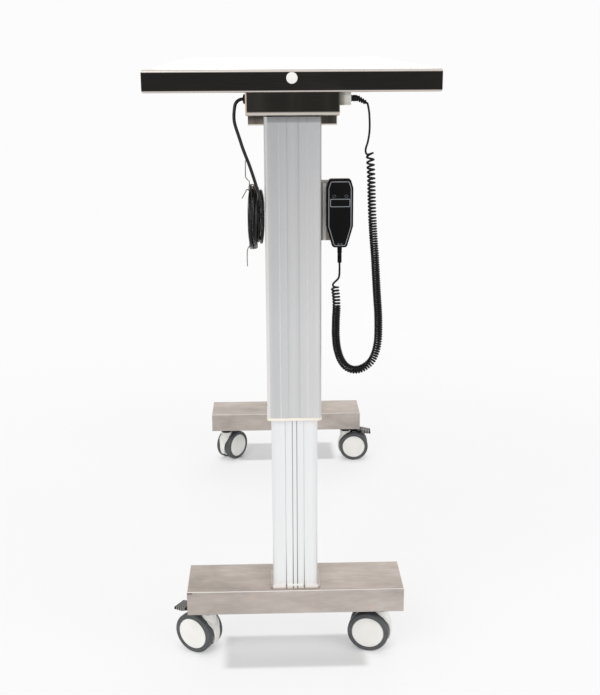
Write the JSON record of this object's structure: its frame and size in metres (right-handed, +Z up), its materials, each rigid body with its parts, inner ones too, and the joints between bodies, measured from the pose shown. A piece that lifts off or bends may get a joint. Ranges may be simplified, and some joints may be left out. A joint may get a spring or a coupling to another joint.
{
  "type": "instrument table",
  "caption": "Long flat instrument table on two motor lift columns with braked castors, a hung hand control on a curly lead and a coiled mains lead.",
  "frame": {"origin": "on the floor, below the middle of the whole table", "axes": "+X across the top to the hand control's side, +Y along the top away from the end with the leads, +Z up"},
  "size_m": [0.62, 1.3926, 1.371],
  "materials": {
    "edge_steel": "brushed, dark by reflection, pale folded lips",
    "foot_steel": "brushed, warm grey, blotchy reflections",
    "outer_profile": "satin anodised, fine lengthwise grain",
    "inner_profile": "satin anodised, paler",
    "drive_metal": "machined housings",
    "frame_steel": "zinc grey",
    "dark_metal": "dark, satin",
    "tie_wire": "bright wire",
    "board": "pressed board",
    "cream_plastic": "smooth, cream",
    "white_plastic": "moulded, slightly warm white",
    "grey_tyre": "smooth soft tread, dark grey",
    "black_plastic": "moulded, black",
    "grey_plastic": "moulded, mid grey",
    "black_cord": "black cable sheath, slight sheen"
  },
  "bodies": {
    "near_base": {"near_foot_cover": "foot_steel", "near_foot_frame": "frame_steel", "near_castor_stems": "dark_metal", "near_inner_column": "inner_profile", "near_drive_nut": "white_plastic"},
    "table_frame": {"tabletop": "edge_steel", "top_board": "board", "traverse_beam": "edge_steel", "near_beam_cover": "edge_steel", "far_beam_cover": "edge_steel", "control_box": "black_plastic", "near_head_bracket": "edge_steel", "far_head_bracket": "edge_steel", "near_outer_column": "outer_profile", "far_outer_column": "outer_profile", "near_guide_bush": "cream_plastic", "far_guide_bush": "cream_plastic", "near_drive": "drive_metal", "far_drive": "drive_metal", "handset_body": "black_plastic", "handset_holder": "edge_steel", "handset_socket": "grey_plastic", "handset_plug": "black_plastic", "handset_lead": "black_cord", "mains_gland": "black_plastic", "mains_cord": "black_cord", "mains_coil": "black_cord", "coil_ties": "tie_wire", "mains_plug": "black_plastic"},
    "far_base": {"far_foot_cover": "foot_steel", "far_foot_frame": "frame_steel", "far_castor_stems": "dark_metal", "far_inner_column": "inner_profile", "far_drive_nut": "white_plastic"},
    "up_button": {"up_button": "grey_plastic"},
    "down_button": {"down_button": "grey_plastic"},
    "near_left_castor": {"near_left_housing": "white_plastic"},
    "near_left_pedal": {"near_left_pedal": "black_plastic"},
    "near_left_outer_wheel": {"near_left_outer_hub": "white_plastic", "near_left_outer_tyre": "grey_tyre"},
    "near_left_inner_wheel": {"near_left_inner_hub": "white_plastic", "near_left_inner_tyre": "grey_tyre"},
    "near_right_castor": {"near_right_housing": "white_plastic"},
    "near_right_pedal": {"near_right_pedal": "black_plastic"},
    "near_right_outer_wheel": {"near_right_outer_hub": "white_plastic", "near_right_outer_tyre": "grey_tyre"},
    "near_right_inner_wheel": {"near_right_inner_hub": "white_plastic", "near_right_inner_tyre": "grey_tyre"},
    "far_left_castor": {"far_left_housing": "white_plastic"},
    "far_left_pedal": {"far_left_pedal": "black_plastic"},
    "far_left_outer_wheel": {"far_left_outer_hub": "white_plastic", "far_left_outer_tyre": "grey_tyre"},
    "far_left_inner_wheel": {"far_left_inner_hub": "white_plastic", "far_left_inner_tyre": "grey_tyre"},
    "far_right_castor": {"far_right_housing": "white_plastic"},
    "far_right_pedal": {"far_right_pedal": "black_plastic"},
    "far_right_outer_wheel": {"far_right_outer_hub": "white_plastic", "far_right_outer_tyre": "grey_tyre"},
    "far_right_inner_wheel": {"far_right_inner_hub": "white_plastic", "far_right_inner_tyre": "grey_tyre"}
  },
  "joints": [
    {"name": "near_lift", "type": "slide", "parent": "near_base", "child": "table_frame", "axis": [0, 0, 1], "range_m": [-0.4, 0]},
    {"name": "far_lift", "type": "slide", "parent": "table_frame", "child": "far_base", "axis": [0, 0, -1], "range_m": [-0.4, 0]},
    {"name": "up_button_press", "type": "slide", "parent": "table_frame", "child": "up_button", "axis": [0, 1, 0], "range_m": [0, 0.0012], "stiffness_N_per_m": 400, "springref_m": -0.0015},
    {"name": "down_button_press", "type": "slide", "parent": "table_frame", "child": "down_button", "axis": [0, 1, 0], "range_m": [0, 0.0012], "stiffness_N_per_m": 400, "springref_m": -0.0015},
    {"name": "near_left_swivel", "type": "hinge", "parent": "near_base", "child": "near_left_castor", "pos_m": [-0.209, -0.624, 0.1], "axis": [0, 0, 1], "continuous": true},
    {"name": "near_left_outer_wheel_spin", "type": "hinge", "parent": "near_left_castor", "child": "near_left_outer_wheel", "pos_m": [-0.23359, -0.60863, 0.05], "axis": [-0.5299, -0.848, 0], "continuous": true},
    {"name": "near_left_inner_wheel_spin", "type": "hinge", "parent": "near_left_castor", "child": "near_left_inner_wheel", "pos_m": [-0.23359, -0.60863, 0.05], "axis": [-0.5299, -0.848, 0], "continuous": true},
    {"name": "near_left_pedal_press", "type": "hinge", "parent": "near_left_castor", "child": "near_left_pedal", "pos_m": [-0.22087, -0.61658, 0.094], "axis": [-0.5299, -0.848, 0], "range_deg": [0, 6]},
    {"name": "near_right_swivel", "type": "hinge", "parent": "near_base", "child": "near_right_castor", "pos_m": [0.209, -0.624, 0.1], "axis": [0, 0, 1], "continuous": true},
    {"name": "near_right_outer_wheel_spin", "type": "hinge", "parent": "near_right_castor", "child": "near_right_outer_wheel", "pos_m": [0.18086, -0.61698, 0.05], "axis": [-0.2419, -0.9703, 0], "continuous": true},
    {"name": "near_right_inner_wheel_spin", "type": "hinge", "parent": "near_right_castor", "child": "near_right_inner_wheel", "pos_m": [0.18086, -0.61698, 0.05], "axis": [-0.2419, -0.9703, 0], "continuous": true},
    {"name": "near_right_pedal_press", "type": "hinge", "parent": "near_right_castor", "child": "near_right_pedal", "pos_m": [0.19542, -0.62061, 0.094], "axis": [-0.2419, -0.9703, 0], "range_deg": [0, 6]},
    {"name": "far_left_swivel", "type": "hinge", "parent": "far_base", "child": "far_left_castor", "pos_m": [-0.209, 0.624, 0.1], "axis": [0, 0, 1], "continuous": true},
    {"name": "far_left_outer_wheel_spin", "type": "hinge", "parent": "far_left_castor", "child": "far_left_outer_wheel", "pos_m": [-0.19036, 0.64621, 0.05], "axis": [-0.766, 0.6428, 0], "continuous": true},
    {"name": "far_left_inner_wheel_spin", "type": "hinge", "parent": "far_left_castor", "child": "far_left_inner_wheel", "pos_m": [-0.19036, 0.64621, 0.05], "axis": [-0.766, 0.6428, 0], "continuous": true},
    {"name": "far_left_pedal_press", "type": "hinge", "parent": "far_left_castor", "child": "far_left_pedal", "pos_m": [-0.2, 0.63472, 0.094], "axis": [-0.766, 0.6428, 0], "range_deg": [0, 6]},
    {"name": "far_right_swivel", "type": "hinge", "parent": "far_base", "child": "far_right_castor", "pos_m": [0.209, 0.624, 0.1], "axis": [0, 0, 1], "continuous": true},
    {"name": "far_right_outer_wheel_spin", "type": "hinge", "parent": "far_right_castor", "child": "far_right_outer_wheel", "pos_m": [0.23798, 0.62299, 0.05], "axis": [0.0349, 0.9994, 0], "continuous": true},
    {"name": "far_right_inner_wheel_spin", "type": "hinge", "parent": "far_right_castor", "child": "far_right_inner_wheel", "pos_m": [0.23798, 0.62299, 0.05], "axis": [0.0349, 0.9994, 0], "continuous": true},
    {"name": "far_right_pedal_press", "type": "hinge", "parent": "far_right_castor", "child": "far_right_pedal", "pos_m": [0.22299, 0.62351, 0.094], "axis": [0.0349, 0.9994, 0], "range_deg": [0, 6]}
  ],
  "couplings": [
    {"joint": "far_lift", "follows": "near_lift", "ratio": 1}
  ]
}
